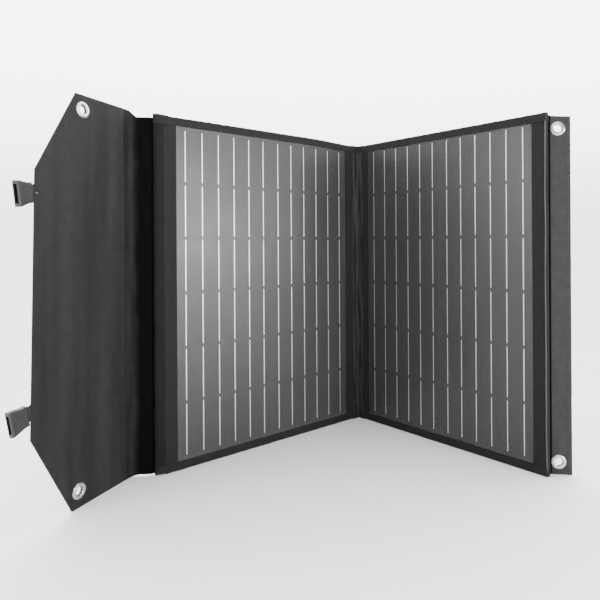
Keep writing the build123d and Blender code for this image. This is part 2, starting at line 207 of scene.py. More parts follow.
def add_object(name, data):
    obj = bpy.data.objects.new(name, data)
    bpy.context.scene.collection.objects.link(obj)
    return obj


def carry(obj, body, *nodes, slot):
    """Says on which body a piece rides and which CAD nodes it stands for; slot is not used."""
    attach(obj, body)
    if nodes:
        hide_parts(*nodes)


def make_object(name, points, faces, material, uv=None, sharp=35):
    """A mesh object from points in millimetres, smooth but for its sharp edges."""
    mesh = bpy.data.meshes.new(name)
    mesh.from_pydata((np.asarray(points) * mm).tolist(), [], faces)
    if uv is not None:
        corners = np.empty(len(mesh.loops), int)
        mesh.loops.foreach_get("vertex_index", corners)
        layer = mesh.uv_layers.new(name="cloth")
        layer.data.foreach_set("uv", (np.asarray(uv)[corners] * mm).ravel())
    mesh.polygons.foreach_set("use_smooth", [True] * len(mesh.polygons))
    mesh.set_sharp_from_angle(angle=radians(sharp))
    mesh.materials.append(material)
    return add_object(name, mesh)


def shell(name, points, thickness, material, uv, keep=None):
    """A sheet with real thickness: a grid of points thickened to both sides, closed at its rims."""
    nu, nv = points.shape[:2]
    normal = np.cross(np.gradient(points, axis=0), np.gradient(points, axis=1))
    normal /= np.linalg.norm(normal, axis=2, keepdims=True)
    half = np.broadcast_to(np.asarray(thickness, float), (nu, nv))[..., None] / 2
    both = np.concatenate([points + normal * half, points - normal * half]).reshape(-1, 3)
    keep = np.ones((nu - 1, nv - 1), bool) if keep is None else keep
    i, j = np.nonzero(keep)
    a, b, c, d = i * nv + j, (i + 1) * nv + j, (i + 1) * nv + j + 1, i * nv + j + 1
    below = nu * nv
    faces = np.column_stack([a, b, c, d]).tolist()
    faces += (np.column_stack([d, c, b, a]) + below).tolist()
    padded = np.pad(keep, 1)
    for p, q, di, dj in ((a, b, 0, -1), (b, c, 1, 0), (c, d, 0, 1), (d, a, -1, 0)):
        open_side = ~padded[i + 1 + di, j + 1 + dj]
        p, q = p[open_side], q[open_side]
        faces += np.column_stack([q, p, p + below, q + below]).tolist()
    flat = np.stack(uv, -1).reshape(-1, 2)
    used = np.unique(np.array(faces))
    renumber = np.zeros(len(both), int)
    renumber[used] = np.arange(len(used))
    faces = renumber[np.array(faces)].tolist()
    return make_object(name, both[used], faces, material, np.concatenate([flat, flat])[used])


def loft(name, rings, material, closed_path=False, sharp=35):
    """Rings of points joined into a tube, with flat ends unless the path is closed."""
    n, m = rings.shape[:2]
    last = n if closed_path else n - 1
    i, j = grid(np.arange(last), np.arange(m))
    i, j = i.ravel(), j.ravel()
    i2, j2 = (i + 1) % n, (j + 1) % m
    faces = np.column_stack([i * m + j, i2 * m + j, i2 * m + j2, i * m + j2]).tolist()
    if not closed_path:
        faces.append(list(range(m)))
        faces.append(list(range((n - 1) * m, n * m))[::-1])
    run = travelled(rings.mean(axis=1))
    around = np.linalg.norm(rings[0] - np.roll(rings[0], 1, axis=0), axis=1).cumsum()
    uv = np.stack(grid(run, around), axis=-1).reshape(-1, 2)
    return make_object(name, rings.reshape(-1, 3), faces, material, uv, sharp)


def lathe(name, profile, centre, axis, material, sides=64):
    """A closed profile of (radius, height) turned about an axis through the centre."""
    axis = np.asarray(axis, float) / np.linalg.norm(axis)
    helper = np.array([0, 0, 1.0]) if abs(axis[2]) < 0.9 else np.array([1.0, 0, 0])
    x = np.cross(helper, axis)
    x /= np.linalg.norm(x)
    y = np.cross(axis, x)
    turn = full_turn(sides)[:, None, None]
    radius, height = np.array(profile, float).T[:, None, :, None]
    rings = centre + radius * (np.cos(turn) * x + np.sin(turn) * y) + height * axis
    return loft(name, rings, material, closed_path=True)


def merge(name, objects):
    """Several objects made into one, under a new name."""
    for obj in bpy.context.selected_objects:
        obj.select_set(False)
    for obj in objects:
        obj.select_set(True)
    bpy.context.view_layer.objects.active = objects[0]
    bpy.ops.object.join()
    objects[0].name = name
    objects[0].data.name = name
    return objects[0]


def rounded(points, radius, size=1.0):
    """A polyline of plan points with each inner corner rounded, resampled at about `size`."""
    points = [np.asarray(p, float) for p in points]
    path = [points[0]]
    for before, corner, after in zip(points, points[1:], points[2:]):
        a = (before - corner) / np.linalg.norm(before - corner)
        b = (after - corner) / np.linalg.norm(after - corner)
        reach = min(radius, np.linalg.norm(before - corner) / 2, np.linalg.norm(after - corner) / 2)
        for t in np.linspace(0, 1, 9):
            path.append(corner + a * reach * (1 - t) ** 2 + b * reach * t**2)
    path.append(points[-1])
    return resample(np.array(path), size)


def stitch_row(panel, path, depth, outward, pitch=4.4, length=3.1, width=0.55, rise=0.3):
    """Where the stitches lie along a path of (along, up) on a panel, and how big they are."""
    path = np.asarray(path, float)
    run = travelled(path)
    where = np.arange(pitch / 2, run[-1], pitch)
    middle = points_at(path, where)
    heading = points_at(path, where + 0.5) - points_at(path, where - 0.5)
    heading /= np.linalg.norm(heading, axis=1, keepdims=True) + 1e-12
    depths = np.interp(where, run, np.broadcast_to(depth, len(path)))
    centre = panel.at(middle[:, 0], depths, middle[:, 1])
    line = heading[:, :1] * panel.out + heading[:, 1:] * panel.up
    lift = panel.back * outward
    side = np.cross(line, lift)
    return centre, line, side, np.broadcast_to(lift, line.shape), length, width, rise


STITCH_SHAPE = [(-0.5, 0.25), (-0.36, 0.85), (0.0, 1.0), (0.36, 0.85), (0.5, 0.25)]


def stitches(name, rows, material):
    """One object holding many rows of stitches: small rounded bars, half sunk in the cloth."""
    points = []
    faces = []
    uv = []
    around = full_turn(6)
    rings = len(STITCH_SHAPE)
    sides = len(around)
    template = []
    for k in range(rings - 1):
        for m in range(sides):
            n = (m + 1) % sides
            template.append((k * sides + m, k * sides + n, (k + 1) * sides + n, (k + 1) * sides + m))
    for centre, line, side, lift, length, width, rise in rows:
        for c, a, b, n in zip(centre, line, side, lift):
            start = len(points)
            for t, fat in STITCH_SHAPE:
                for angle in around:
                    offset = a * t * length + b * cos(angle) * fat * width / 2 + n * sin(angle) * fat * rise
                    points.append(c + offset)
                    uv.append((t * length, angle))
            faces += [[start + v for v in f] for f in template]
            faces.append([start + m for m in range(sides)][::-1])
            faces.append([start + (rings - 1) * sides + m for m in range(sides)])
    return make_object(name, points, faces, material, uv, 60)


def sew(name, rows, body):
    """Rows of thread that ride on a body."""
    sewn = stitches(name, rows, thread)
    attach(sewn, body)
    return sewn


# ---------------------------------------------------------------- materials

class Paint:
    """A material being built: its Principled shader and short ways to add nodes."""

    def __init__(self, name, **sockets):
        self.material = bpy.data.materials.new(name)
        self.material.use_nodes = True
        self.tree = self.material.node_tree
        self.shader = self.tree.nodes["Principled BSDF"]
        for socket, value in sockets.items():
            self.shader.inputs[socket.replace("_", " ")].default_value = value

    def node(self, kind, settings=None, **inputs):
        made = self.tree.nodes.new("ShaderNode" + kind)
        for key, value in (settings or {}).items():
            setattr(made, key, value)
        for key, value in inputs.items():
            numbered = key[0] == "i" and key[1:].isdigit()
            socket = made.inputs[int(key[1:]) if numbered else key.replace("_", " ")]
            if isinstance(value, bpy.types.NodeSocket):
                self.tree.links.new(value, socket)
            else:
                socket.default_value = value
        return made

    def link(self, output, socket):
        self.tree.links.new(output, self.shader.inputs[socket])

    def math(self, operation, a, b):
        return self.node("Math", {"operation": operation}, i0=a, i1=b).outputs[0]

    def weighted(self, *terms):
        """The sum of (value, weight) terms."""
        total = None
        for value, weight in terms:
            part = self.math("MULTIPLY", value, weight)
            total = part if total is None else self.math("ADD", total, part)
        return total

    def darken(self, colour, factor):
        settings = {"data_type": "RGBA", "blend_type": "MULTIPLY"}
        return self.node("Mix", settings, i0=1.0, i6=colour, i7=factor).outputs[2]

    def flat_place(self):
        """Places on the sheet's own flat lay."""
        return self.node("UVMap", {"uv_map": "cloth"}).outputs[0]

    def place(self, turn=0.0):
        """Places in the row frame, turned about the upright."""
        where = self.node("TexCoord").outputs["Object"]
        return self.node("Mapping", Vector=where, Rotation=(0, 0, radians(turn))).outputs[0]

    def noise(self, where, size, detail=2.0, rough=0.5, stretch=(1, 1, 1)):
        """Noise of about `size` millimetres."""
        scaled = self.node("Mapping", Vector=where, Scale=stretch).outputs[0]
        made = self.node("TexNoise", Vector=scaled, Scale=1 / (size * mm), Detail=detail, Roughness=rough)
        return made.outputs[0]

    def bands(self, where, pitch, direction):
        """Parallel ridges, `pitch` millimetres apart."""
        settings = {"wave_type": "BANDS", "bands_direction": direction, "wave_profile": "SIN"}
        return self.node("TexWave", settings, Vector=where, Scale=pi / (10 * pitch * mm)).outputs["Fac"]

    def ramp(self, factor, stops):
        """A colour ramp from (place, grey or colour) stops."""
        made = self.node("ValToRGB", i0=factor)
        elements = made.color_ramp.elements
        while len(elements) < len(stops):
            elements.new(0.5)
        for element, (place, value) in zip(elements, stops):
            element.position = place
            element.color = (*value, 1) if hasattr(value, "__len__") else (value, value, value, 1)
        return made.outputs[0]

    def bump(self, height, distance, strength=1.0, under=None):
        made = self.node("Bump", Height=height, Distance=distance * mm, Strength=strength)
        if under is not None:
            self.tree.links.new(under, made.inputs["Normal"])
        return made.outputs[0]


def tint(colour, factor):
    return tuple(min(1.0, c * factor) for c in colour)


def cloth_material(name, colour, pitch=1.0, rough=0.8, sheen=0.04, gloss=0.12, depth=0.14,
                   painted_shade_run=None, shaded_folds=None):
    """Coated polyester: a plain weave, dusty mottling and a little sheen. Upright folds of a given size and
    contrast get painted shade in their hollows. Given two runs, painted shade takes it from nearly black
    at the first run to its own colour at the second."""
    paint = Paint(name, Roughness=rough, Sheen_Weight=sheen, Sheen_Roughness=0.45, Specular_IOR_Level=gloss)
    where = paint.flat_place()
    warp = paint.bands(where, pitch, "X")
    weft = paint.bands(where, pitch, "Y")
    crossing = paint.math("MULTIPLY", warp, weft)
    turned = paint.math("MULTIPLY", paint.math("SUBTRACT", 1.0, warp), paint.math("SUBTRACT", 1.0, weft))
    weave = paint.math("ADD", crossing, turned)
    dust = paint.noise(where, 14, 4, 0.62)
    yarn = paint.noise(where, 2.2, 2, 0.6)
    shade = paint.weighted((dust, 0.55), (yarn, 0.3), (weave, 0.16))
    dye_and_shade = paint.ramp(shade, [(0.28, tint(colour, 0.62)), (0.5, colour), (0.74, tint(colour, 1.5))])
    creases = paint.bump(paint.noise(where, 22, 3, 0.55), 0.5, 0.5)
    # Painted shade: the hollows of the upright folds are darkened in colour, on top of their bump.
    if shaded_folds is not None:
        size, contrast = shaded_folds
        folds = paint.noise(where, size, 3, 0.5, stretch=(1, 0.06, 1))
        creases = paint.bump(folds, 1.2, 0.8, creases)
        fold_shade_tones = [(0.38, 1 - contrast), (0.5, 1 - contrast / 2), (0.62, 1.0)]
        dye_and_shade = paint.darken(dye_and_shade, paint.ramp(folds, fold_shade_tones))
    # Painted shade: the cloth goes from nearly black at the first run to its own colour at the second.
    if painted_shade_run is not None:
        run = paint.node("SeparateXYZ", i0=where).outputs[0]
        uneven = paint.math("MULTIPLY", paint.math("SUBTRACT", paint.noise(where, 60, 2), 0.5), 12 * mm)
        spread = paint.node("MapRange", {"interpolation_type": "SMOOTHSTEP"},
                            Value=paint.math("ADD", run, uneven), To_Min=0.12, To_Max=1.0,
                            From_Min=painted_shade_run[0] * mm, From_Max=painted_shade_run[1] * mm)
        dye_and_shade = paint.darken(dye_and_shade, spread.outputs[0])
    paint.link(dye_and_shade, "Base Color")
    paint.link(paint.ramp(dust, [(0.2, rough - 0.1), (0.8, rough + 0.1)]), "Roughness")
    paint.link(paint.bump(weave, depth, 0.9, creases), "Normal")
    return paint.material


def webbing_material(name, colour):
    """Woven strap: slanting yarns across ribs."""
    paint = Paint(name, Roughness=0.7, Sheen_Weight=0.06, Specular_IOR_Level=0.25)
    where = paint.flat_place()
    slant = paint.node("Mapping", Vector=where, Rotation=(0, 0, radians(38))).outputs[0]
    yarns = paint.bands(slant, 1.1, "X")
    ribs = paint.bands(where, 2.2, "Y")
    weave = paint.weighted((yarns, 0.6), (ribs, 0.4))
    fuzz = paint.noise(where, 3, 3, 0.6)
    shade = paint.weighted((weave, 0.45), (fuzz, 0.55))
    stops = [(0.2, tint(colour, 0.55)), (0.55, colour), (0.85, tint(colour, 1.7))]
    paint.link(paint.ramp(shade, stops), "Base Color")
    paint.link(paint.bump(weave, 0.25, 0.9), "Normal")
    return paint.material


def plastic_material(name, colour, rough):
    """Moulded plastic: fine spark texture, soft scuffs and a faint flow mottling."""
    paint = Paint(name, Roughness=rough, IOR=1.5)
    where = paint.place()
    scuffs = paint.noise(where, 7, 4, 0.65)
    grain = paint.noise(where, 0.5, 2, 0.5)
    paint.link(paint.ramp(scuffs, [(0.3, tint(colour, 0.8)), (0.7, tint(colour, 1.35))]), "Base Color")
    paint.link(paint.ramp(scuffs, [(0.3, rough - 0.1), (0.75, rough + 0.18)]), "Roughness")
    paint.link(paint.bump(grain, 0.05, 0.6), "Normal")
    return paint.material


def metal_material(name, colour, rough):
    """Plated metal with hair scratches and slightly dulled patches."""
    paint = Paint(name, Metallic=1.0, Roughness=rough)
    where = paint.place()
    patches = paint.noise(where, 5, 3, 0.6)
    hairs = paint.noise(where, 1.2, 3, 0.7, (1, 1, 9))
    paint.link(paint.ramp(patches, [(0.3, tint(colour, 0.82)), (0.7, tint(colour, 1.1))]), "Base Color")
    paint.link(paint.ramp(patches, [(0.3, rough - 0.08), (0.75, rough + 0.15)]), "Roughness")
    paint.link(paint.bump(hairs, 0.03, 0.48), "Normal")
    return paint.material


def cell_material(name, panel):
    """Silicon cells behind the film: fine printed fingers, grain and a soft embossed gloss."""
    paint = Paint(name, Roughness=0.36, IOR=1.5)
    where = paint.place(-panel.heading)
    uprights = paint.bands(where, 2.7, "X")
    fingers = paint.bands(where, 1.5, "Z")
    grain = paint.noise(where, 1.6, 3, 0.6)
    clouds = paint.noise(where, 90, 3, 0.5)
    lines = paint.weighted((uprights, 0.5), (fingers, 0.25))
    shade = paint.weighted((lines, 0.6), (grain, 0.3), (clouds, 0.25))
    paint.link(paint.ramp(shade, [(0.25, CELL_DARK), (0.85, CELL_LIGHT)]), "Base Color")
    paint.link(paint.ramp(clouds, [(0.3, 0.3), (0.7, 0.42)]), "Roughness")
    paint.link(paint.bump(grain, 0.06, 0.5, paint.bump(uprights, 0.05, 0.4)), "Normal")
    return paint.material


def film_material(name):
    """Clear embossed front film: hardly there but for its gloss."""
    paint = Paint(name, Base_Color=(0.05, 0.05, 0.05, 1), Roughness=0.3, IOR=1.42, Alpha=0.12)
    where = paint.place()
    emboss = paint.noise(where, 1.4, 2, 0.5)
    paint.link(paint.bump(emboss, 0.03, 0.4), "Normal")
    paint.link(paint.ramp(paint.noise(where, 40, 3), [(0.3, 0.25), (0.7, 0.38)]), "Roughness")
    return paint.material


def ribbon_material(name):
    """Tinned copper ribbon, a little uneven where it was soldered."""
    paint = Paint(name, Metallic=0.85, Roughness=0.38)
    where = paint.place()
    solder = paint.noise(where, 6, 3, 0.6)
    paint.link(paint.ramp(solder, [(0.3, (0.62, 0.63, 0.64)), (0.7, (0.92, 0.92, 0.92))]), "Base Color")
    paint.link(paint.bump(solder, 0.1, 0.5), "Normal")
    return paint.material


CELL_DARK = (0.012, 0.0123, 0.013)
CELL_LIGHT = (0.034, 0.035, 0.036)

COVER = (0.0145, 0.0147, 0.015)
# The next colour is painted shade: the cover's fabric drawn near black for the recessed gutter and the gap
# beside the eyelet strip, used by spine_cloth.
PAINTED_GUTTER_SHADE = (0.002, 0.002, 0.0021)
cover_cloth = cloth_material("cover_cloth", COVER)
spine_cloth = cloth_material("spine_cloth", PAINTED_GUTTER_SHADE, rough=0.9, sheen=0.0, gloss=0.05)
# Cloths below that are given folds have painted shade in their fold hollows.
flap_cloth = cloth_material("flap_cloth", tint(COVER, 1.12), shaded_folds=(34, 0.42))
fold_cloth = cloth_material("fold_cloth", tint(COVER, 1.75), shaded_folds=(5.5, 0.75))
rear_fold_cloth = cloth_material("rear_fold_cloth", tint(COVER, 1.1), shaded_folds=(10, 0.35))
# Painted shade: nearly black at the spine end of the gutter's sheet, its own colour 11 mm on.
shade_cloth = cloth_material("shade_cloth", COVER, gloss=0.05, painted_shade_run=(0.0, 11.0), shaded_folds=(9, 0.4))
# A darker copy of the cover cloth: painted shade on the window's border.
shaded_border_cloth = cloth_material("shaded_border_cloth", tint(COVER, 0.72))
# A darker copy of the cover cloth: painted shade on the padded edges beside the gutter and the strip.
shaded_roll_cloth = cloth_material("shaded_roll_cloth", tint(COVER, 0.5), gloss=0.08)
# A much lighter copy of the cover cloth: a painted highlight along the wing's rounded outer edge.
highlight_piping_cloth = cloth_material("highlight_piping_cloth", tint(COVER, 3.6), gloss=0.3)
# A lighter copy of the cover cloth: painted light on the eyelet strip.
strip_cloth = cloth_material("strip_cloth", tint(COVER, 1.75))
tape_cloth = cloth_material("tape_cloth", tint(COVER, 0.75), pitch=0.8, depth=0.1)
webbing = webbing_material("webbing", tint(COVER, 0.85))
thread = cloth_material("thread", tint(COVER, 1.9), pitch=0.5, rough=0.6)
pale_thread = cloth_material("pale_thread", (0.45, 0.45, 0.44), pitch=0.5, rough=0.6)
buckle_plastic = plastic_material("buckle_plastic", (0.007, 0.007, 0.0075), 0.48)
box_plastic = plastic_material("box_plastic", (0.016, 0.016, 0.017), 0.45)
grip_rubber = plastic_material("grip_rubber", (0.014, 0.014, 0.0145), 0.62)
zip_plastic = plastic_material("zip_plastic", (0.014, 0.014, 0.014), 0.4)
eyelet_metal = metal_material("eyelet_metal", (0.5, 0.5, 0.495), 0.2)
# A dark copy of the eyelet metal: painted shade inside each eyelet's hole.
shaded_throat_metal = metal_material("shaded_throat_metal", (0.05, 0.05, 0.05), 0.5)
zip_metal = metal_material("zip_metal", (0.42, 0.42, 0.43), 0.32)
board_fill = plastic_material("board_fill", (0.12, 0.11, 0.1), 0.7)
backsheet = plastic_material("backsheet", (0.03, 0.03, 0.032), 0.4)
film = film_material("clear_film")
ribbon = ribbon_material("tinned_ribbon")


def paint_node(name, material):
    """Gives a CAD node its procedural material."""
    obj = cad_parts[name]
    obj.data.materials.clear()
    obj.data.materials.append(material)


# ---------------------------------------------------------------- the wings

LEFT_WINDOW, RIGHT_WINDOW = 31.0, 26.0  # where each wing's window starts
LEFT_ROLL, RIGHT_ROLL = (386.0, 400.0), (380.0, 384.2)  # start and end of each wing's padded edge
LEFT_TOP_RISE = 2.8  # how far the left wing's top tape bows up


def wing_front(side, panel, window_start, end):
    """The cover cloth round the window, with a folded lip and small puckers along its sewn edges."""
    lip = 0.45
    low, high = WINDOW_UP
    window_end = window_start + WINDOW_WIDTH
    alongs = graded(EDGE + CLOTH, (window_start - 3, 3), (window_start, 1), (window_end, 6),
                    (window_end + 3, 1), (end, 3))
    ups = graded(CLOTH, (low - 2, 2.5), (low, 1), (high, 5), (high + 2, 1), (WING_HEIGHT - CLOTH, 2.5))
    a, u = grid(alongs, ups)
    wrinkle = rumple(11 if side == "left" else 12, 14, 70, spread=0.5)
    outside = np.maximum.reduce([window_start - a, a - window_end, low - u, u - high])
    held = ease(np.minimum(a - EDGE, end - a), 0, 6)
    depth = 1.7 - lip * (1 - ease(outside, 2.5, 5)) - 0.28 * wrinkle(a, u) * held * ease(outside, 2, 8)
    points = panel.at(a, np.clip(depth, 0.95, 2.0), u)
    middle_a, middle_u = cell_middles(a), cell_middles(u)
    keep = ~((middle_a > window_start) & (middle_a < window_end) & (middle_u > low) & (middle_u < high))
    # Its cloth is a darker copy of the cover cloth: painted shade.
    obj = shell(f"{side}_window_cloth", points, 0.7, shaded_border_cloth, (a, u), keep)
    carry(obj, f"{side}_wing", f"{side}_bezel", slot="cover_cloth")


def wing_back(side, panel, end):
    """The cover cloth on the back, slack enough to ripple a little."""
    alongs = steps(EDGE + CLOTH, end, 4)
    ups = steps(CLOTH, WING_HEIGHT - CLOTH, 4)
    a, u = grid(alongs, ups)
    wrinkle = rumple(21 if side == "left" else 22, 30, 190)
    held = ease(np.minimum(a - EDGE, end - a), 0, 30) * ease(np.minimum(u, WING_HEIGHT - u), 10, 45)
    depth = 11.3 + 0.3 * held * wrinkle(a, u)
    obj = shell(f"{side}_back_cloth", panel.at(a, np.clip(depth, 11.0, 11.9), u), 0.7, cover_cloth,
                (a, u))
    carry(obj, f"{side}_wing", f"{side}_back_cover", slot="cover_cloth")


def wing_tape(side, panel, roll, place):
    """Binding tape folded over the top or bottom edge, sewn through with one row of stitches."""
    edge, inward = (WING_HEIGHT, -1) if place == "top" else (0.0, 1)
    front, rear = FACE + CLOTH / 2, BACK - CLOTH / 2
    start, end = roll
    rise = LEFT_TOP_RISE if (side, place) == ("left", "top") else 0.0

    def lift(along):
        return rise * ease(along, EDGE, 110)

    section = rounded([
        (front, edge + inward * TAPE), (front, edge + inward * CLOTH / 2),
        (rear, edge + inward * CLOTH / 2), (rear, edge + inward * TAPE),
    ], 3.2, 1.3)
    reach = (end - start) * 0.97 - 1.7
    bulge = start + 2 + reach * np.sin(np.linspace(0.1, 1.46, 12))
    alongs = np.concatenate([steps(EDGE, start + 2, 3), bulge])
    a, k = grid(alongs, np.arange(len(section)))
    bow = np.clip((a - start - 2) / reach, 0, 1)
    narrow = np.maximum(1 - bow**2.5, 0.02) ** 0.36
    pucker = rumple(31 + len(place) + len(side), 7, 26, spread=0.25)
    away = np.abs(section[k, 1] - edge)
    fold = 0.16 * pucker(a, section[k, 1]) * ease(away, 0, 6)
    outward = np.where(section[k, 0] < 6.5, -1, 1) * ease(away, 1, 5)
    centre = (front + rear) / 2
    depth = centre + (section[k, 0] + outward * fold - centre) * narrow
    run = travelled(section)[k]
    corner = ease(a, start - 14, start + 3)
    swell = 0.12 * pucker(a, 0.0)
    if side == "left":
        swell += (1.3 if place == "top" else -1.8) * corner
    up = section[k, 1] + lift(a) - inward * swell * (1 - ease(away, 0, 9))
    points = panel.at(a, depth, up)
    if (place == "top") != (side == "left"):
        points, run = points[:, ::-1], run[:, ::-1]
    obj = shell(f"{side}_{place}_tape", points, 0.75, tape_cloth, (a, run))
    carry(obj, f"{side}_wing", f"{side}_{place}_binding", slot="binding_tape")
    line = edge + inward * (TAPE - 2.6)
    path = [(along, line + lift(along)) for along in np.linspace(EDGE + 2, start + 2, 8)]
    rows = [stitch_row(panel, path, FACE, -1), stitch_row(panel, path, BACK, 1)]
    sewn = sew(f"{side}_{place}_stitches", rows, f"{side}_wing")


def wing_roll(side, panel, start, end):
    """The padded outer edge: a soft roll that is pinched here and there by its lining."""
    ups = steps(2.6, WING_HEIGHT - 0.6, 4)
    turn = full_turn(36)
    middle = (FACE + BACK) / 2
    half = (BACK - FACE) / 2 - CLOTH
    lump = rumple(41 if side == "left" else 42, 16, 90)
    rings = []
    for up in ups:
        ends = 1 - 0.22 * (1 - ease(min(up, WING_HEIGHT - up), 0, 7))
        swell = 1 + 0.022 * lump(up, turn * 6)
        across = np.sign(np.cos(turn)) * np.abs(np.cos(turn)) ** 0.62
        outward = np.sign(np.sin(turn)) * np.abs(np.sin(turn)) ** 0.8
        reach = np.where(outward > 0, (end - start) * 0.97 - 2, 2.0)
        along = start + 2 + outward * reach * np.minimum(swell, 1.03) * ends
        depth = middle + across * half * swell * ends
        rings.append(panel.at(along, depth, up))
    rings = np.array(rings)
    rings = rings if side == "right" else rings[:, ::-1]
    # Its cloth is a darker copy of the cover cloth: painted shade.
    obj = loft(f"{side}_edge_pad", rings, shaded_roll_cloth, sharp=50)
    carry(obj, f"{side}_wing", f"{side}_edge_roll", slot="cover_cloth")


def piping(side, panel, along, depth, radius):
    """A thin corded edge down the outer corner of a wing, a little wavy."""
    ups = steps(3, WING_HEIGHT - 3, 4)
    sway = rumple(45, 60, 240)
    turn = full_turn(14)
    rings = []
    for up in ups:
        middle = along + 0.35 * sway(up, 0.0) - 2.0 * ease(up, WING_HEIGHT - 16, WING_HEIGHT)
        size = radius * (1 - 0.35 * (1 - ease(min(up, WING_HEIGHT - up), 3, 16)))
        rings.append(panel.at(middle + size * np.cos(turn), depth + size * np.sin(turn), up))
    # Its pale cloth is a painted highlight along the wing's rounded outer edge.
    obj = loft(f"{side}_piping", np.array(rings), highlight_piping_cloth, sharp=60)
    carry(obj, f"{side}_wing", slot="cover_cloth")


def fold_sheets():
    """The cloth of the fold: one sheet wraps each wing's inner edge and crosses in front, one behind.
    Two short tapes carry the edge binding across it."""
    full = (0.4, WING_HEIGHT - 0.4)
    front_half = [(12.35, 11.0), (12.35, 2.0), (1.5, 1.35)]
    back_half = [(15.0, 12.35), (10.5, 11.4), (2.0, 3.4)]
    tape_half = [(16.0, 0.15), (12.0, 0.35), (1.5, 0.4)]
    layout = [
        ("fold_front_sheet", front_half, (0.0, 0.9), full, ("fold_face_cloth", "fold_edge"), fold_cloth),
        ("fold_back_sheet", back_half, (0.0, 2.5), full, ("fold_back_cloth",), rear_fold_cloth),
        ("fold_top_tape", tape_half, (0.0, 0.0), (WING_HEIGHT - TAPE, WING_HEIGHT), (), tape_cloth),
        ("fold_bottom_tape", tape_half, (0.0, 0.0), (0.0, TAPE), (), tape_cloth),
    ]
    for seed, (name, half, nose, (low, high), nodes, material) in enumerate(layout, 51):
        plan = [left.plan(*place) for place in half]
        plan.append((left.plan(*nose) + right.plan(*nose)) / 2)
        plan += [right.plan(*place) for place in reversed(half)]
        path = rounded(plan, 1.6, 1.1)
        k, u = grid(np.arange(len(path)), steps(low, high, 4))
        wave = rumple(seed, 18, 80, spread=0.3)
        run = travelled(path)
        middle = run[-1] / 2
        free = 1 - ease(np.abs(run[k] - middle), 9, 14)
        crease = 0.45 * wave(run[k] * 3, u) + 0.3 * np.cos(run[k] * 2 * pi / 6.5)
        points = np.concatenate([path[k], u[..., None]], axis=-1)
        if nodes:
            points[..., 1] -= free * crease
        obj = shell(name, points, 0.7, material, (run[k], u))
        start, end = left.metres(1.6, 1.5, 0), right.metres(1.6, 1.5, 0)
        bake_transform(obj)
        if nodes:
            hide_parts(*[f"{side}_{node}" for node in nodes for side in ("left", "right")])


for side, panel, window_start, roll in (
    ("left", left, LEFT_WINDOW, LEFT_ROLL), ("right", right, RIGHT_WINDOW, RIGHT_ROLL)
):
    wing_front(side, panel, window_start, roll[0])
    wing_back(side, panel, roll[0])
    wing_tape(side, panel, roll, "top")
    wing_tape(side, panel, roll, "bottom")
    wing_roll(side, panel, *roll)
    paint_node(f"{side}_board", board_fill)
    paint_node(f"{side}_backsheet", backsheet)
    paint_node(f"{side}_cells", cell_material(f"{side}_cell_silicon", panel))
    paint_node(f"{side}_ribbons", ribbon)
    paint_node(f"{side}_film", film)
fold_sheets()
piping("right", right, RIGHT_ROLL[1] - 1.6, 1.5, 0.95)


# ---------------------------------------------------------------- spine and flap

REAR_FACING = 0.05  # faces that look this far backwards are the sheet's rear side


def blended_sheet(name, path, low, high, material, bodies, start, end, node, slot, bulge=None, thickness=1.5):
    """A sheet of cloth on a plan path between two bodies; bodies is not used. low and high are its ends along
    the path, and bulge says how far it stands off it. Its rear side is the cover's cloth."""
    run = travelled(path)
    low = np.broadcast_to(low, run.shape)
    high = np.broadcast_to(high, run.shape)
    k, share = grid(np.arange(len(path)), np.linspace(0, 1, 136))
    u = low[k] + share * (high - low)[k]
    points = np.concatenate([path[k], u[..., None]], axis=-1)
    if bulge is not None:
        slope = unit_slope(path)
        across = np.column_stack([-slope[:, 1], slope[:, 0], np.zeros(len(path))])
        points = points + across[k] * bulge(run[k], u)[..., None]
    obj = shell(name, points, thickness, material, (run[k], u))
    # The given material goes only on faces that look to the front; for the gutter and the strip's root it is
    # painted shade, so the rear side keeps the cover's cloth.
    obj.data.materials.append(cover_cloth)
    for face in obj.data.polygons:
        face.material_index = 1 if face.normal.y > REAR_FACING else 0
    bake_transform(obj)
    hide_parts(node)


def spine_sheets():
    """The gutter between the left wing and the flap, in two lengths that meet on the spine."""
    seam = 17.0
    before = [left.plan(378.0, BACK + 0.75), left.plan(399.0, BACK + 0.75), spine.plan(3.0, 0)]
    after = [spine.plan(SPINE_WIDTH, 0), flap.plan(FLAP_START + 1, 0)]
    outer = rounded([*before, spine.plan(seam, 0)], 7, 1.6)
    inner = rounded([spine.plan(seam, 0), *after], 12, 1.6)
    outer_length, inner_length = travelled(outer)[-1], travelled(inner)[-1]
    rise = ease(travelled(inner), 2, inner_length - 10)
    inner_low = SPINE_UP[0] * (1 - rise)
    inner_high = SPINE_UP[1] + (FLAP_HEIGHT - SPINE_UP[1]) * rise
    wave = rumple(61, 26, 120, heading=pi / 2, spread=0.5)

    def outer_bulge(run, up):
        return 0.5 * ease(run, 24, 34) * ease(outer_length - run, 0, 6) * wave(run, up)

    def inner_bulge(run, up):
        return 0.7 * ease(run, 0, 6) * ease(inner_length - run, 0, 12) * wave(run, up)

    # The near-black spine_cloth here is painted shade in the gutter's recess; shade_cloth darkens the flap
    # side into it.
    blended_sheet("spine_wing_sheet", outer, *SPINE_UP, spine_cloth, ("left_wing", "spine"),
                  left.metres(401, 12, 0), spine.metres(4, 0, 0), "spine_root_cloth", "spine_cloth",
                  outer_bulge)
    blended_sheet("spine_flap_sheet", inner, inner_low, inner_high, shade_cloth, ("spine", "flap"),
                  spine.metres(SPINE_WIDTH - 5, 0, 0), flap.metres(5, 0, 0), "spine_cloth", "spine_cloth",
                  inner_bulge)


def flap_width(up):
    """How far out the flap's cut edge is at a height."""
    return np.interp(up, *zip(*FLAP_OUTLINE))


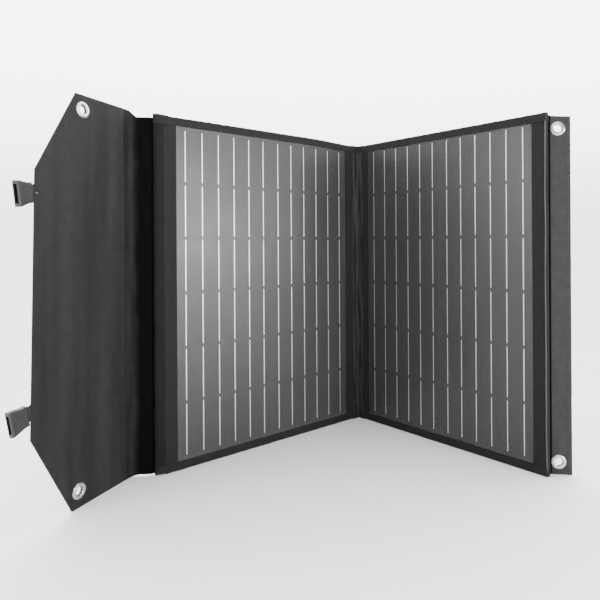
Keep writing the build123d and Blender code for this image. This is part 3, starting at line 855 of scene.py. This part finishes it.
flap_wave = rumple(71, 60, 260, 10)
flap_creases = rumple(72, 24, 80, 12, spread=0.45)
flap_drape = rumple(73, 22, 60, 12, spread=0.3)


def flap_edge_distance(along, up):
    """About how far a place on the flap is from its nearest cut edge."""
    width = flap_width(up)
    slope = np.abs(np.interp(up, [0, 110, 118, 438, 446, 551], [0.51, 0.51, 0.0, 0.0, 0.55, 0.55]))
    outer = (width - along) / np.sqrt(1 + slope**2)
    return np.minimum.reduce([outer, up, FLAP_HEIGHT - up])


def flap_middle(along, up):
    """How far the flap's cloth stands behind its flat plane: soft waves that die out at sewn places."""
    inside = ease(flap_edge_distance(along, up), 0, 40) * ease(along, FLAP_START, 45)
    for ring_along, ring_up in FLAP_EYELETS.values():
        inside *= ease(np.hypot(along - ring_along, up - ring_up), 14, 50)
    near_spine = np.exp(-(((along - 34) / 22) ** 2)) * ease(flap_edge_distance(along, up), 0, 60)
    wave = inside * (1.3 * flap_wave(along, up) + 0.7 * flap_drape(along, up))
    wave = wave + near_spine * 1.1 * flap_creases(along, up)
    return 0.5 * (wave + np.sqrt(wave**2 + 0.4**2)) - 0.2


def flap_cloths():
    """The flap's face and back cloth, hemmed together round the edge, soft over the board."""
    ups = graded(0, (12, 2), (114, 3.4), (442, 4), (539, 3.3), (FLAP_HEIGHT, 2))
    share = np.concatenate([np.linspace(0, 0.86, 34)[:-1], np.linspace(0.86, 1, 10)])
    s, u = grid(share, ups)
    a = FLAP_START + s * (flap_width(u) - FLAP_START)
    edge = flap_edge_distance(a, u)
    quilt = ease(edge, 0, 9) * ease(a - FLAP_START, -2, 8)
    groove = np.exp(-(((edge - 9.0) / 1.8) ** 2)) * 0.28
    half = 0.42 + 0.5 * quilt - groove
    sag = flap_middle(a, u)
    keep = clear_of(FLAP_EYELETS.values(), a, u, FLAP_HOLE)
    hem = [(flap_width(up) - 9.2, up) for up in steps(9, FLAP_HEIGHT - 9, 3)]
    corner = (min(hem[0][0], flap_width(9) - 12), 9)
    border = np.array([(FLAP_START + 3, 9), corner, *hem, (FLAP_START + 3, FLAP_HEIGHT - 9)], float)
    seam = np.array([(FLAP_START + 3.5, 4), (FLAP_START + 3.5, FLAP_HEIGHT - 4)], float)
    for name, sign, nodes in (
        ("flap_face", -1, ("flap_face_cloth", "flap_board")), ("flap_back", 1, ("flap_back_cloth",))
    ):
        points = flap.at(a, sag + sign * half, u)
        obj = shell(name, points, 0.75, flap_cloth, (a, u), keep)
        carry(obj, "flap", *nodes, slot="cover_cloth")
        rows = []
        for path in (border, resample(seam, 4)):
            path = resample(path, 3)
            depth = flap_middle(*path.T) + sign * 0.95
            rows.append(stitch_row(flap, path, depth, sign))
        sewn = sew(f"{name}_stitches", rows, "flap")


def eyelet(name, panel, along, up, half, body):
    """A pressed ring: a rolled rim on the face, a throat through the cloth and a washer behind."""
    rim = half + 0.9
    roll = [(5.8, rim - 1.4)]
    for angle in np.linspace(200, -20, 12):
        roll.append((8.1 + 2.35 * cos(radians(angle)), rim - 0.95 + 0.95 * sin(radians(angle))))
    roll += [(10.6, half + 0.05), (7.3, half), (7.2, -half)]
    roll += [(10.7, -half - 0.05), (10.8, -half - 0.45), (10.2, -rim), (7.0, -rim), (5.9, -rim + 0.4)]
    centre = panel.at(along, 0, up)
    deep = -rim - 0.3
    throat = [(5.5, rim - 1.3), (5.95, rim - 1.3), (5.95, deep), (5.5, deep)]
    # The throat's metal is a dark copy of the ring's: painted shade inside the hole.
    inner = lathe(name + "_throat", throat, centre, -panel.back, shaded_throat_metal)
    carry(inner, body, slot="eyelet_metal")
    obj = lathe(name + "_ring", roll, centre, -panel.back, eyelet_metal)
    carry(obj, body, name, slot="eyelet_metal")


spine_sheets()
flap_cloths()
for place, (along, up) in FLAP_EYELETS.items():
    eyelet(f"flap_{place}_eyelet", flap, along, up, 1.3, "flap")
for place, (along, up) in STRIP_EYELETS.items():
    eyelet(f"strip_{place}_eyelet", strip, along, up, 0.8, "eyelet_strip")


# ---------------------------------------------------------------- eyelet strip

def strip_sheets():
    """The eyelet strip with its hem, and the cloth that sews it to the right wing."""
    root = [right.plan(356.0, BACK + 0.6), right.plan(376.5, BACK + 0.7), strip.plan(2.5, 0),
            strip.plan(5.0, 0)]
    path = rounded(root, 5, 1.6)
    # The near-black spine_cloth here is painted shadow in the gap between the wing's edge and the strip.
    blended_sheet("strip_root_sheet", path[::-1], 0.3, STRIP_HEIGHT + 2.6, spine_cloth,
                  ("right_wing", "eyelet_strip"), right.metres(378.5, 14.5, 0), strip.metres(3, 0, 0),
                  "strip_root_cloth", "cover_cloth", thickness=0.9)
    wave = rumple(81, 20, 90, heading=pi / 2, spread=0.4)

    def sway(along, up):
        still = ease(np.minimum(up, STRIP_HEIGHT - up), 30, 90)
        return 0.25 * (1 + wave(along, up)) * still * ease(along, 4, 16)

    alongs = graded(STRIP_START, (27, 2.2), (STRIP_WIDTH, 0.8))
    ups = steps(0, STRIP_HEIGHT, 3)
    a, u = grid(alongs, ups)
    hem = 7.0
    distance = np.minimum.reduce([STRIP_WIDTH - a, u, STRIP_HEIGHT - u])
    hemmed = 0.45 * (1 - ease(STRIP_WIDTH - a, hem - 1.0, hem + 0.6))
    thickness = 1.25 + hemmed - 0.5 * (1 - ease(distance, 0, 1.2))
    keep = clear_of(STRIP_EYELETS.values(), a, u, STRIP_HOLE)
    lifted = u * (1 + 2.4 / STRIP_HEIGHT * (1 - a / STRIP_WIDTH))
    # The strip's cloth is a lighter copy of the cover cloth: painted light.
    obj = shell("strip_sheet", strip.at(a, sway(a, u), lifted)[::-1], thickness[::-1], strip_cloth,
                (a[::-1], u[::-1]), keep[::-1])
    carry(obj, "eyelet_strip", "strip_cloth", slot="cover_cloth")
    inset = STRIP_WIDTH - hem + 1.2
    line = resample(np.array([(inset, 3), (inset, STRIP_HEIGHT - 3)]), 3)
    rows = [stitch_row(strip, line, sway(*line.T) + sign * 0.84, sign) for sign in (-1, 1)]
    sewn = sew("strip_stitches", rows, "eyelet_strip")


strip_sheets()


# ---------------------------------------------------------------- webbing and buckles

def webbing_strip(name, centres, panel, width=WEBBING, thickness=WEBBING_THICKNESS):
    """A woven strap along a line of centres, with ribs along its length and rounded selvedges."""
    t = np.linspace(-1, 1, 21)
    rib = 0.06 * (np.cos(t * pi * 9) - 1)
    edge = 1 - 0.35 * ease(np.abs(t), 0.88, 1.0)
    across = panel.up * (t * width / 2)[:, None]
    lift = panel.back * (thickness / 2 * edge + rib)[:, None]
    rings = [np.concatenate([centre + across + lift, (centre + across - lift)[::-1]]) for centre in centres]
    return loft(name, np.array(rings), webbing, sharp=50)


def box_stitch(panel, along, up, depth, outward, width=14.0, height=14.0):
    """A square of stitches with a cross in it."""
    (a0, a1), (u0, u1) = (along - width / 2, along + width / 2), (up - height / 2, up + height / 2)
    square = [(a0, u0), (a1, u0), (a1, u1), (a0, u1), (a0, u0)]
    lines = [square, [(a0, u0), (a1, u1)], [(a0, u1), (a1, u0)]]
    return [stitch_row(panel, line, depth, outward, 3.0, 2.1) for line in lines]


def buckle_webs():
    """The flap's webbing: each tab out to its socket, and the sewn-down patch behind the flap."""
    patches = []
    rows = []
    for place, height in BUCKLE_UP.items():
        edge = float(flap_width(height))
        tab = flap.panel_at(edge + 1.2, 0, flap.heading + BUCKLE_SWING[place], 1)
        droop = radians(BUCKLE_DROOP[place])
        along = steps(0.6, 9.5, 0.9)
        centres = tab.at(along, 0, height - np.tan(droop) * along)
        web = webbing_strip(f"{place}_tab_web", centres, tab)
        carry(web, f"{place}_buckle", f"{place}_tab", slot="webbing")
        along = steps(edge - 34, edge - 0.2, 2)
        depth = 1.3 + 0.8 - 0.5 * ease(along, edge - 6, edge)
        centres = flap.at(along, depth, height)
        patches.append(webbing_strip(f"{place}_patch_web", centres, flap))
        rows += box_stitch(flap, edge - 18, height, 1.3 + WEBBING_THICKNESS, 1)
        tack = [(edge - 5.5, height - 8), (edge - 5.5, height + 8)]
        rows.append(stitch_row(flap, tack, -0.95, -1, 1.3, 1.1, 0.5, 0.3))
    web = merge("tab_patch_webs", patches)
    sew("tab_stitches", rows, "flap")
    carry(web, "flap", "tab_patches", slot="webbing")
    bar = [(154.2, BUCKLE_UP["upper"] - 1.4), (156.6, BUCKLE_UP["upper"] + 0.4)]
    end = stitches("loose_thread", [stitch_row(flap, bar, -1.0, -1, 3.0, 2.6, 0.8, 0.5)], pale_thread)
    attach(end, "flap")


def catch_webs():
    """The right wing's two straps, sewn down with a box stitch and running to their plugs."""
    patches = []
    rows = []
    strap = right.panel_at(CATCH_ALONG, 14.0, right.heading, -1)
    wave = rumple(91, 30, 80)
    for place, height in BUCKLE_UP.items():
        along = steps(0.8, 68, 2.0)
        sway = 0.12 * wave(along, height) * ease(along, 2, 14) * ease(68 - along, 8, 20)
        centres = strap.at(along, sway, height)
        web = webbing_strip(f"{place}_strap_web", centres, strap)
        carry(web, f"{place}_catch", f"{place}_strap", slot="webbing")
        along = steps(CATCH_ALONG - 32, CATCH_ALONG - 0.4, 2)
        centres = right.at(along, BACK + WEBBING_THICKNESS / 2, height)
        patches.append(webbing_strip(f"{place}_sewn_web", centres, right))
        rows += box_stitch(right, CATCH_ALONG - 16, height, BACK + WEBBING_THICKNESS, 1)
    web = merge("strap_patch_webs", patches)
    sew("strap_stitches", rows, "right_wing")
    carry(web, "right_wing", "strap_patches", slot="webbing")


buckle_webs()
catch_webs()
for place in BUCKLE_UP:
    paint_node(f"{place}_socket", buckle_plastic)
    paint_node(f"{place}_plug", buckle_plastic)


# ---------------------------------------------------------------- handle

HANDLE_ALONG = 15.0
HANDLE_MIDDLE = 275.0
HANDLE_HALF = 85.0
HANDLE_DEPTH = 7.0
HANDLE_RISE = 32.0
LOOP_RADIUS = 5.4
LOOP_FOOT = 12.0  # how far each end of a loop reaches from its middle


def handle():
    """A twisted rope with a ribbed grip, held in two webbing loops on the spine."""
    low, high = HANDLE_MIDDLE - HANDLE_HALF, HANDLE_MIDDLE + HANDLE_HALF
    route = rounded([
        (HANDLE_DEPTH, low), (HANDLE_DEPTH, low + 22), (HANDLE_RISE, low + 40),
        (HANDLE_RISE, high - 40), (HANDLE_DEPTH, high - 22), (HANDLE_DEPTH, high),
    ], 9, 1.5)
    turn = full_turn(32)
    rings = []
    for (depth, up), (dd, du), run in zip(route, unit_slope(route), travelled(route)):
        twist = 2 * pi * run / 26
        radius = 3.35 + 0.6 * np.abs(np.cos(1.5 * (turn - twist)))
        a = HANDLE_ALONG + radius * np.cos(turn)
        side = radius * np.sin(turn)
        rings.append(spine.at(a, depth + side * du, up - side * dd))
    rope = loft("handle_twist", np.array(rings)[:, ::-1], webbing, sharp=60)
    carry(rope, "handle", "handle_rope", slot="webbing")

    profile = [(4.1, -37.0), (7.4, -37.0), (8.2, -36.2), (8.5, -34.5)]
    for ring in np.arange(-32, 32.1, 4.0):
        profile += [(8.5, ring - 1.3), (7.7, ring - 0.6), (7.7, ring + 0.6), (8.5, ring + 1.3)]
    profile += [(8.5, 34.5), (8.2, 36.2), (7.4, 37.0), (4.1, 37.0)]
    grip = lathe("handle_ribbed_grip", profile, spine.at(HANDLE_ALONG, HANDLE_RISE, HANDLE_MIDDLE),
                 (0, 0, 1), grip_rubber, 48)
    carry(grip, "handle", "handle_grip", slot="grip_rubber")

    for place, height in (("lower", low + 9), ("upper", high - 9)):
        over = [(-LOOP_FOOT, 1.6), (-LOOP_RADIUS, 1.7)]
        for angle in np.radians(np.linspace(180, 0, 9)):
            over.append((LOOP_RADIUS * cos(angle), HANDLE_DEPTH + LOOP_RADIUS * sin(angle)))
        over += [(LOOP_RADIUS, 1.7), (LOOP_FOOT, 1.6)]
        path = rounded([(HANDLE_ALONG + across, depth) for across, depth in over], 1.2, 1.0)
        half = 0.62
        up = height + np.linspace(-7, 7, 9)
        rings = []
        for (a, d), (sa, sd) in zip(path, unit_slope(path)):
            top = spine.at(a - sd * half, d + sa * half, up)
            bottom = spine.at(a + sd * half, d - sa * half, up)
            rings.append(np.concatenate([top, bottom[::-1]]))
        band = loft(f"{place}_loop_web", np.array(rings)[:, ::-1], webbing, sharp=50)
        foot = LOOP_FOOT + 0.5
        patch_path = spine.at(steps(HANDLE_ALONG - foot, HANDLE_ALONG + foot, 1.5), 1.35, height)
        patch = webbing_strip(f"{place}_loop_patch", patch_path, spine, 30.0, 1.1)
        rows = [stitch_row(spine, [(a, height - 12), (a, height + 12)], 1.95, 1, 3.0, 2.1)
                for a in (HANDLE_ALONG - 10.5, HANDLE_ALONG + 10.5)]
        sew(f"{place}_loop_stitches", rows, "spine")
        whole = merge(f"{place}_handle_band", [band, patch])
        carry(whole, "spine", f"{place}_handle_loop", slot="webbing")


handle()


# ---------------------------------------------------------------- pocket, zip and junction box

POCKET_ALONG, POCKET_UP = (60.0, 270.0), (60.0, 250.0)
ZIP_UP = 232.0
ZIP_TAPE = 22.0
BOX_ALONG, BOX_UP = (285.0, 365.0), (330.0, 392.0)
BOX_DEPTH, LID_DEPTH, SCREW_INSET = 13.0, 2.4, 7.0


def pocket():
    """The zipped pocket: a flat pouch that swells a little, sewn down round its edge."""
    (a0, a1), (u0, u1) = POCKET_ALONG, POCKET_UP
    corner = 12.0
    ups = graded(u0, (u0 + corner, 1.2), (u1 - corner, 4), (u1, 1.2))
    s, u = grid(np.linspace(0, 1, 60), ups)
    near = np.minimum(u - u0, u1 - u)
    cut = corner - np.sqrt(np.maximum(corner**2 - np.clip(corner - near, 0, corner) ** 2, 0))
    a = a0 + cut + s * (a1 - a0 - 2 * cut)
    inside = np.minimum(np.minimum(a - a0, a1 - a), near)
    crumple = rumple(101, 22, 110)
    zip_flat = 1 - np.exp(-(((u - ZIP_UP) / 14) ** 2))
    thick = 0.9 + ease(inside, 3, 22) * (1.1 + 0.35 * crumple(a, u) * zip_flat)
    thick = np.clip(thick, 0.8, 3.0)
    depth = BACK + thick / 2
    obj = shell("pocket_pouch", left.at(a, depth, u), thick, cover_cloth, (a, u))
    carry(obj, "left_wing", "pocket", slot="cover_cloth")
    inset = 3.2
    border = rounded([(a0 + inset, u0 + 40), (a0 + inset, u0 + inset), (a1 - inset, u0 + inset),
                      (a1 - inset, u1 - inset), (a0 + inset, u1 - inset), (a0 + inset, u0 + 40)], 10, 3)
    rows = [stitch_row(left, border, BACK + 0.95, 1)]
    zip_a = (a0 + 12, a1 - 12)
    for up in (ZIP_UP - 8.6, ZIP_UP + 8.6):
        rows.append(stitch_row(left, [(zip_a[0] + 2, up), (zip_a[1] - 2, up)], BACK + 3.55, 1))
    sewn = sew("pocket_stitches", rows, "left_wing")

    tape_a, tape_u = grid(steps(*zip_a, 3), steps(ZIP_UP - ZIP_TAPE / 2, ZIP_UP + ZIP_TAPE / 2, 1.1))
    groove = 0.3 * np.exp(-(((tape_u - ZIP_UP) / 1.6) ** 2))
    tape = shell("zip_tape_cloth", left.at(tape_a, BACK + 3.2 - groove, tape_u), 0.55, tape_cloth,
                 (tape_a, tape_u))
    carry(tape, "left_wing", "zip_tape", slot="binding_tape")

    points = []
    faces = []
    for number, along in enumerate(np.arange(zip_a[0] + 5, zip_a[1] - 5, 1.55)):
        side = 1 if number % 2 else -1
        start = len(points)
        for depth in (3.55, 4.6, 5.1):
            wide = 0.62 if depth < 5 else 0.38
            reach = 2.0 if depth < 5 else 1.5
            for da, du in ((-wide, -0.7), (wide, -0.7), (wide, reach), (-wide, reach)):
                points.append(left.at(along + da, BACK + depth, ZIP_UP + side * du))
        order = [0, 1, 2, 3] if side < 0 else [3, 2, 1, 0]
        for base in (start, start + 4):
            for m in range(4):
                p, q = order[m], order[(m + 1) % 4]
                faces.append([base + p, base + q, base + 4 + q, base + 4 + p])
        faces.append([start + p for p in order[::-1]])
        faces.append([start + 8 + p for p in order])
    teeth = make_object("zip_teeth_row", points, faces, zip_plastic)
    carry(teeth, "left_wing", "zip_teeth", slot="zip_teeth")
    paint_node("zip_slider", zip_metal)
    paint_node("zip_pull", zip_metal)


def junction_details():
    """Screws on the junction box's lid and the ribbed nut of its gland."""
    (a0, a1), (u0, u1) = BOX_ALONG, BOX_UP
    lid = BACK + BOX_DEPTH + LID_DEPTH
    profile = [(0.05, 0.35), (0.9, 0.35), (1.0, 1.15), (2.1, 1.0), (2.9, 0.45), (3.0, 0.0), (0.05, 0.0)]
    heads = [lathe(f"screw_{a:.0f}_{u:.0f}", profile, left.at(a, lid, u), left.back, zip_metal, 32)
             for a in (a0 + SCREW_INSET, a1 - SCREW_INSET) for u in (u0 + SCREW_INSET, u1 - SCREW_INSET)]
    screws = merge("junction_screws", heads)
    carry(screws, "left_wing", slot="zip_metal")
    middle = (a0 + a1) / 2
    turn = full_turn(96)
    outline = [(0.2, 6.9, 0), (1.0, 7.2, 0.3), (5.5, 7.2, 0.3), (6.3, 6.7, 0.1), (7.0, 6.1, 0)]
    outline += [(7.0, 5.95, 0), (0.2, 5.95, 0)]
    rings = []
    for drop, radius, rib in outline:
        r = radius + rib * np.sign(np.cos(12 * turn))
        depth = BACK + BOX_DEPTH / 2 + r * np.sin(turn)
        rings.append(left.at(middle + r * np.cos(turn), depth, u0 - 0.2 - drop))
    nut = loft("gland_nut", np.array(rings), box_plastic, closed_path=True)
    carry(nut, "left_wing", slot="black_plastic")
    for node in ("junction_box", "junction_lid", "lead_gland"):
        paint_node(node, box_plastic)


pocket()
junction_details()


# ---------------------------------------------------------------- studio

def add_camera():
    """The photograph's own viewing angle."""
    data = bpy.data.cameras.new("camera")
    data.sensor_width = 36
    data.lens = 30.68
    data.shift_x = -0.09
    data.shift_y = -0.0967
    data.clip_start = 0.02
    data.clip_end = 30
    cam = add_object("camera", data)
    cam.location = (0.03866, -0.80458, 0.3509)
    cam.rotation_euler = Euler((pi / 2, radians(0.34), 0))
    bpy.context.scene.camera = cam


def add_light(name, place, aim, power, width, height):
    data = bpy.data.lights.new(name, "AREA")
    data.energy = power
    data.shape = "RECTANGLE"
    data.size = width
    data.size_y = height
    light = add_object(name, data)
    light.location = place
    light.rotation_euler = (Vector(aim) - Vector(place)).to_track_quat("-Z", "Y").to_euler()


def add_floor():
    """A pale paper floor."""
    paint = Paint("paper", Base_Color=(0.9, 0.9, 0.9, 1), Roughness=0.9)
    grain = paint.noise(paint.place(), 3, 2)
    paint.link(paint.ramp(grain, [(0.3, 0.88), (0.7, 0.92)]), "Base Color")
    mesh = bpy.data.meshes.new("floor")
    reach = 40.0
    mesh.from_pydata([(-reach, -reach, 0), (reach, -reach, 0), (reach, reach, 0), (-reach, reach, 0)], [],
                     [(0, 1, 2, 3)])
    mesh.materials.append(paint.material)
    add_object("floor", mesh)


def add_world(front, rear, horizon):
    world = bpy.data.worlds.new("studio")
    bpy.context.scene.world = world
    world.use_nodes = True
    tree = world.node_tree
    background = tree.nodes["Background"]
    background.inputs[0].default_value = (1, 1, 1, 1)
    place = tree.nodes.new("ShaderNodeTexCoord")
    split = tree.nodes.new("ShaderNodeSeparateXYZ")
    tree.links.new(place.outputs["Generated"], split.inputs[0])

    def spread(value, low, high, start, end):
        made = tree.nodes.new("ShaderNodeMapRange")
        made.interpolation_type = "SMOOTHSTEP"
        sockets = ("Value", "From Min", "From Max", "To Min", "To Max")
        for socket, given in zip(sockets, (value, low, high, start, end)):
            if isinstance(given, bpy.types.NodeSocket):
                tree.links.new(given, made.inputs[socket])
            else:
                made.inputs[socket].default_value = given
        return made.outputs["Result"]

    above = spread(split.outputs["Z"], 0.0, 0.3, horizon, rear)
    tree.links.new(spread(split.outputs["Y"], -0.3, 0.3, front, above), background.inputs[1])


add_camera()
add_floor()
add_world(0.9, 6.5, 3.3)
add_light("right_softbox", (1.75, -1.25, 0.5), (-0.15, 0.05, 0.26), 58, 1.1, 0.7)
add_light("left_softbox", (-1.7, -1.2, 0.75), (0.15, 0.05, 0.28), 27, 1.0, 0.8)
add_light("front_softbox", (0.1, -2.4, 1.9), (0, 0, 0.28), 25, 1.4, 0.8)
